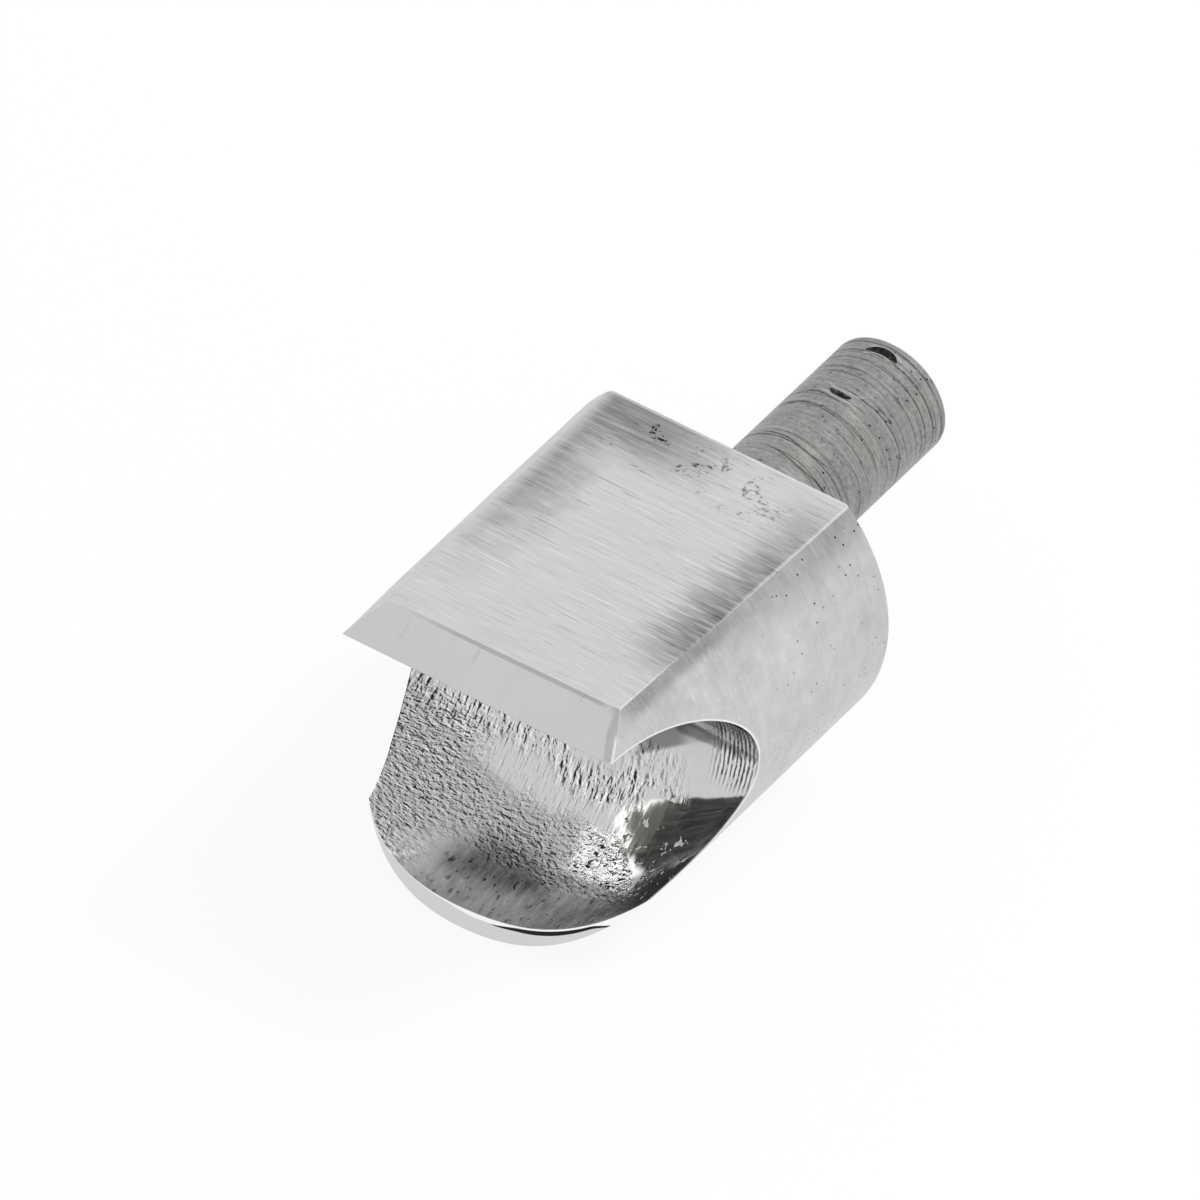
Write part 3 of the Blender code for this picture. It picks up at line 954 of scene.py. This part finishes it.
def turned_shank(settings):
    """Darker steel with uneven rings from the lathe, painted as shade and highlights, a side painted lighter, faint
    warm clouds, stains and tiny black pits.
    """
    paint = Paint("turned_shank")
    x, y, z = paint.x, paint.y, paint.z
    radius = SHANK_RADIUS / MM
    around = paint.wrapped(radius)
    cloud = paint.noise(around, 0.45, detail=4.0, roughness=0.6)
    fine = paint.noise(paint.wrapped(radius, 0.10, 5.5), detail=4.0, roughness=0.75)
    broad = paint.noise(paint.wrapped(radius, 0.08, 1.3), detail=3.0)
    # Rings of painted shade and painted highlight at uneven places, standing in for the lathe's grooves, each shown
    # over part of its turn.
    wobble = (paint.noise(around, 0.22, detail=1.0) - 0.5) * 0.9

    def scribed(place, half_width, across, lengthwise, low, high):
        """Rings at scattered places, broken by a noise that runs round the shank."""
        breaks = paint.noise(paint.wrapped(radius, across, lengthwise))
        return paint.marks(place, half_width) * breaks.step(low, high)

    bold_ring_shade = scribed(y * 0.75 + wobble, 0.030, 0.16, 1.1, 0.46, 0.56)
    slight_ring_shade = scribed(y * 2.1 - wobble, 0.055, 0.25, 2.3, 0.42, 0.56)
    bright = scribed(y * 1.7 + wobble + 5.0, 0.045, 0.22, 2.0, 0.46, 0.58)
    stains = paint.noise(paint.wrapped(radius, 1.8, 2.6), detail=4.0, roughness=0.75)
    stained = stains.fall(0.34, 0.42) * cloud.fall(0.44, 0.56)
    pits = paint.cells(around, 1.35).fall(0.05, 0.10)
    pits = pits * paint.noise(around, 0.55).step(0.48, 0.60) * x.step(-0.6, 1.2)
    for place, width, depth in BOLD_RINGS:
        off = abs(y + wobble * 0.25 - place)
        bold_ring_shade = bold_ring_shade.at_least(off.fall(width * 0.5, width * 1.5) * depth * stains.step(0.36, 0.5))

    # Steel pushed up pale round the screw's mark.
    off_x = x - SCREW_MARK_X
    off_y = y + settings.screw_mark_place / MM
    off_ring = abs((off_x * off_x + off_y * off_y).root() - settings.screw_mark_radius / MM)
    burr = off_ring.between(0.22, 0.30, 0.03) * abs(off_x).fall(0.7, 1.1) * z.step(0.0, 2.9)

    grain = paint.noise(around, 4.5, detail=3.0, roughness=0.7)
    # The +X side is painted a little lighter.
    shade = 0.33 + x.step(1.2, 2.8) * 0.05 + fine * 0.98 + broad * 0.26
    shade = shade + (cloud - 0.5) * 0.50 + (stains - 0.5) * 0.40 + (grain - 0.5) * 1.00
    shade = shade - bold_ring_shade * 0.58 - slight_ring_shade * 0.50 + bright * 0.38 - stained * 0.60 - pits * 0.90 + burr * 0.45
    warm = paint.mix(cloud.step(0.42, 0.62), settings.steel_colour, settings.warm_colour)
    tint = paint.scaled_colour(warm, shade.at_least(0.08))
    roughness = 0.33 + fine * 0.14
    height = fine * 0.008 - bold_ring_shade * 0.012 - slight_ring_shade * 0.006 - pits * 0.02 - stained * 0.006
    return paint.finish(tint, roughness, height, rounded_mm=0.04)


def pressed_mark(settings):
    """Torn dark steel where a set screw has bitten."""
    paint = Paint("pressed_mark")
    x, y = paint.x, paint.y
    grain = paint.noise(paint.place, 5.0, detail=3.0)
    off_y = y + settings.screw_mark_place / MM
    inner = (x * x + off_y * off_y).root().fall(1.66, 1.80)
    tint = paint.scaled_colour(settings.steel_colour, 0.05 + grain.step(0.40, 0.65) * (0.12 + inner * 0.60))
    return paint.finish(tint, 0.4 + grain * 0.2, grain * 0.02)


PROFILE_PITCH = 0.07 * MM


def shank_profile(settings):
    """(y, radius) points from the tang's end to the free end, with shallow rings of uneven depth."""
    draw = random.Random(11)
    points = [(TANG_END_Y, 0.0), (TANG_END_Y, SHANK_RADIUS), (SHOULDER_Y - 0.2 * MM, SHANK_RADIUS)]
    rings = []
    place = SHOULDER_Y
    while place < -settings.end_chamfer:
        place += draw.uniform(0.25, 0.9) * MM
        rings.append((place, draw.uniform(0.004, 0.016) * MM, draw.uniform(0.04, 0.09) * MM))
    count = int((-settings.end_chamfer - SHOULDER_Y) / PROFILE_PITCH)
    for i in range(count + 1):
        y = SHOULDER_Y + (-settings.end_chamfer - SHOULDER_Y) * i / count
        groove = sum(depth * math.exp(-(((y - at) / width) ** 2)) for at, depth, width in rings)
        points.append((y, SHANK_RADIUS - groove))
    points.append((0.0, SHANK_RADIUS - settings.end_chamfer))
    points.append((0.0, 0.0))
    return points


def add_shank(settings):
    shank = trace("turned_shank", [(0, y, radius) for y, radius in shank_profile(settings)])
    bpy.ops.mesh.spin(steps=settings.steps, angle=2 * math.pi, center=(0, 0, 0), axis=(0, 1, 0))
    bpy.ops.mesh.select_all(action="SELECT")
    bpy.ops.mesh.remove_doubles(threshold=1e-6)
    bpy.ops.mesh.normals_make_consistent(inside=False)
    finish_edit(shank)
    give_material(shank, turned_shank(settings))
    start_alone()
    bpy.ops.mesh.primitive_torus_add(
        major_radius=settings.screw_mark_radius,
        minor_radius=SCREW_SECTION_RADIUS,
        major_segments=128,
        minor_segments=32,
        location=(SCREW_MARK_X * MM, -settings.screw_mark_place, SHANK_RADIUS + SCREW_MIDDLE_HEIGHT),
        rotation=(SCREW_LEAN, 0, 0),
    )
    ring = finish_edit(bpy.context.object)
    give_material(ring, pressed_mark(settings))
    cut_away(shank, ring)
    make_active(shank)
    bpy.ops.object.shade_smooth_by_angle(angle=math.radians(35))
    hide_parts("shank")
    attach(shank, "root")
    return shank


# ---- Stage ----

HEAD_CENTRE = Vector((0, (SHOULDER_Y + EDGE_Y) / 2, 0))

# What the throat's right end mirrors, as azimuths and elevations in degrees: a bright streak that bends over an
# olive patch on a black ground.
UNDER_STREAK = [(-38.5, 19), (-41, 26), (-46.5, 33), (-55, 37.5), (-67, 39.5), (-80, 40), (-91.5, 35.5), (-100, 29)]
OVER_STREAK = [
    (-103, 32), (-94, 38), (-81, 41.2), (-66.6, 40.7), (-54.2, 38.8), (-45.6, 34.6), (-40.4, 28), (-37.9, 20.8)
]
BLACK_FOOT = [(-108, 20), (-108, 6), (-62, 4), (-47, 11), (-41, 15)]
OLIVE_FOOT = [(-87, 28), (-74, 31.5), (-61.5, 30), (-50, 26), (-42, 19)]
SMOKE_COLOUR = (0.24, 0.24, 0.24)


def place_camera(settings):
    bpy.ops.object.camera_add()
    camera = bpy.context.object
    camera.data.lens = settings.focal_length
    camera.data.sensor_width = 36.0
    camera.data.clip_end = 100.0
    turn = (
        Matrix.Rotation(settings.azimuth, 4, "Z")
        @ Matrix.Rotation(math.pi / 2 - settings.elevation, 4, "X")
        @ Matrix.Rotation(settings.roll, 4, "Z")
    )
    aim = Vector(settings.aim)
    camera.matrix_world = Matrix.Translation(aim + turn.col[2].to_3d() * settings.distance) @ turn
    bpy.context.scene.camera = camera


def toward(azimuth, elevation):
    """Unit vector in degrees: azimuth 0 is the front, -Y, and 90 is the right, +X."""
    a, e = math.radians(azimuth), math.radians(elevation)
    return Vector((math.sin(a) * math.cos(e), -math.cos(a) * math.cos(e), math.sin(e)))


def add_softbox(name, azimuth, elevation, width, height, brightness, distance=0.35):
    """An area lamp that faces the head. Brightness is what a mirror would show of it."""
    start_alone()
    bpy.ops.object.light_add(type="AREA")
    lamp = bpy.context.object
    lamp.name = name
    direction = toward(azimuth, elevation)
    turn = direction.to_track_quat("Z", "Y").to_matrix().to_4x4()
    lamp.matrix_world = Matrix.Translation(HEAD_CENTRE + direction * distance) @ turn
    lamp.data.shape = "RECTANGLE"
    lamp.data.size = width
    lamp.data.size_y = height
    lamp.data.energy = brightness * math.pi * width * height
    lamp.visible_camera = False
    return lamp


def hang_card(name, outline, tint, distance, swirl=0.0, strength=1.0):
    """A glowing or black card seen only in reflections. Its outline is given as directions from the head."""
    card = trace(name, [HEAD_CENTRE + toward(*direction) * distance for direction in outline])
    bpy.ops.mesh.edge_face_add()
    start_alone()
    paint = Paint(name)
    murk = paint.noise(paint.place, 0.014, detail=4.0, roughness=0.6, distortion=2.5).step(0.47, 0.66) * swirl
    glow = {"Color": paint.mix(murk, tint, SMOKE_COLOUR), "Strength": strength}
    paint.show(paint.node("ShaderNodeEmission", {}, glow))
    card.data.materials.append(paint.material)
    card.visible_camera = False
    card.visible_shadow = False
    card.visible_diffuse = False


def add_floor(settings):
    """A pale floor under the head, which keeps a soft shadow."""
    start_alone()
    bpy.ops.mesh.primitive_plane_add(size=6.0, location=(0, 0, -BAR_RADIUS))
    floor = bpy.context.object
    floor.name = "floor"
    paint = Paint("pale_floor")
    paint.finish((*settings.floor_colour, 1.0), 0.9, paint.noise(paint.place, 0.05) * 0.001, metallic=0.0)
    paint.shader.inputs["Specular IOR Level"].default_value = 0.0
    glow = paint.node("ShaderNodeEmission", {}, {"Strength": 1.0})
    lift = paint.seen() * settings.floor_lift
    paint.show(paint.node("ShaderNodeMixShader", {}, {0: lift, 1: paint.shader.outputs[0], 2: glow}))
    floor.data.materials.append(paint.material)


def light_world():
    """A pale surround: white where it is seen or mirrored, softer where it lights the floor."""
    world = bpy.data.worlds.new("studio")
    bpy.context.scene.world = world
    world.use_nodes = True
    graph = Graph(world.node_tree)
    strength = graph.node("ShaderNodeMapRange", {}, {"Value": graph.seen(), "To Min": 0.75, "To Max": 1.0})
    graph.feed(graph.tree.nodes["Background"], {"Color": (1.0, 1.0, 1.0, 1.0), "Strength": strength})


def set_stage(settings):
    place_camera(settings)
    add_floor(settings)
    light_world()
    # Lamps: azimuth and elevation in degrees, width and height in metres, and brightness. The first one only
    # throws the floor's shadow; the others are what the steel mirrors.
    shadow = add_softbox("shadow_lamp", 140, 50, 0.12, 0.12, 20.0, distance=0.5)
    shadow.visible_glossy = False
    add_softbox("key", 140, 62, 0.20, 0.08, 1.9)
    add_softbox("back_strip", -155, 14, 0.08, 0.06, 2.0)
    hang_card("black_card", UNDER_STREAK + BLACK_FOOT, (0.03, 0.03, 0.03), 1.05, swirl=1.0)
    hang_card("olive_card", UNDER_STREAK[:6] + OLIVE_FOOT, (0.19, 0.20, 0.17), 1.0, swirl=0.2)
    hang_card("streak_card", UNDER_STREAK + OVER_STREAK, (1.0, 1.0, 1.0), 0.95, strength=2.8)
    hang_card("top_card", [(-100, 70), (-40, 64), (60, 80), (-160, 80)], (0.72, 0.72, 0.72), 0.9)
    bpy.context.scene.view_settings.view_transform = "Standard"


# ---- Add-on ----


class LINO_OT_body(Operator):
    """Model the ground cutter body with its throat, lip and steel finishes"""

    bl_idname = "lino.add_body"
    bl_label = "Cutter body"

    def execute(self, context):
        add_body(context.scene.lino_body, context.scene.lino_shank)
        return {"FINISHED"}


class LINO_OT_shank(Operator):
    """Model the turned shank with its rings and screw marks"""

    bl_idname = "lino.add_shank"
    bl_label = "Shank"

    def execute(self, context):
        add_shank(context.scene.lino_shank)
        return {"FINISHED"}


class LINO_OT_stage(Operator):
    """Set the camera, the pale floor, the lamps and the surroundings"""

    bl_idname = "lino.set_stage"
    bl_label = "Stage"

    def execute(self, context):
        set_stage(context.scene.lino_stage)
        return {"FINISHED"}


class LINO_PT_panel(Panel):
    """Buttons that build the head and its stage"""

    bl_idname = "LINO_PT_panel"
    bl_label = "Lino Cutter Head"
    bl_space_type = "VIEW_3D"
    bl_region_type = "UI"
    bl_category = "Lino Cutter"

    def draw(self, context):
        for operator, settings in (
            (LINO_OT_body, context.scene.lino_body),
            (LINO_OT_shank, context.scene.lino_shank),
            (LINO_OT_stage, context.scene.lino_stage),
        ):
            box = self.layout.box()
            for name in settings.__annotations__:
                box.prop(settings, name)
            box.operator(operator.bl_idname)


SETTINGS = {"lino_body": BodySettings, "lino_shank": ShankSettings, "lino_stage": StageSettings}
CLASSES = (*SETTINGS.values(), LINO_OT_body, LINO_OT_shank, LINO_OT_stage, LINO_PT_panel)


def register():
    for cls in CLASSES:
        bpy.utils.register_class(cls)
    for name, kind in SETTINGS.items():
        setattr(bpy.types.Scene, name, PointerProperty(type=kind))


def unregister():
    for name in SETTINGS:
        delattr(bpy.types.Scene, name)
    for cls in reversed(CLASSES):
        bpy.utils.unregister_class(cls)


def main():
    register()
    bpy.ops.lino.set_stage()
    bpy.ops.lino.add_body()
    bpy.ops.lino.add_shank()
    start_alone()


if __name__ == "__main__":
    main()
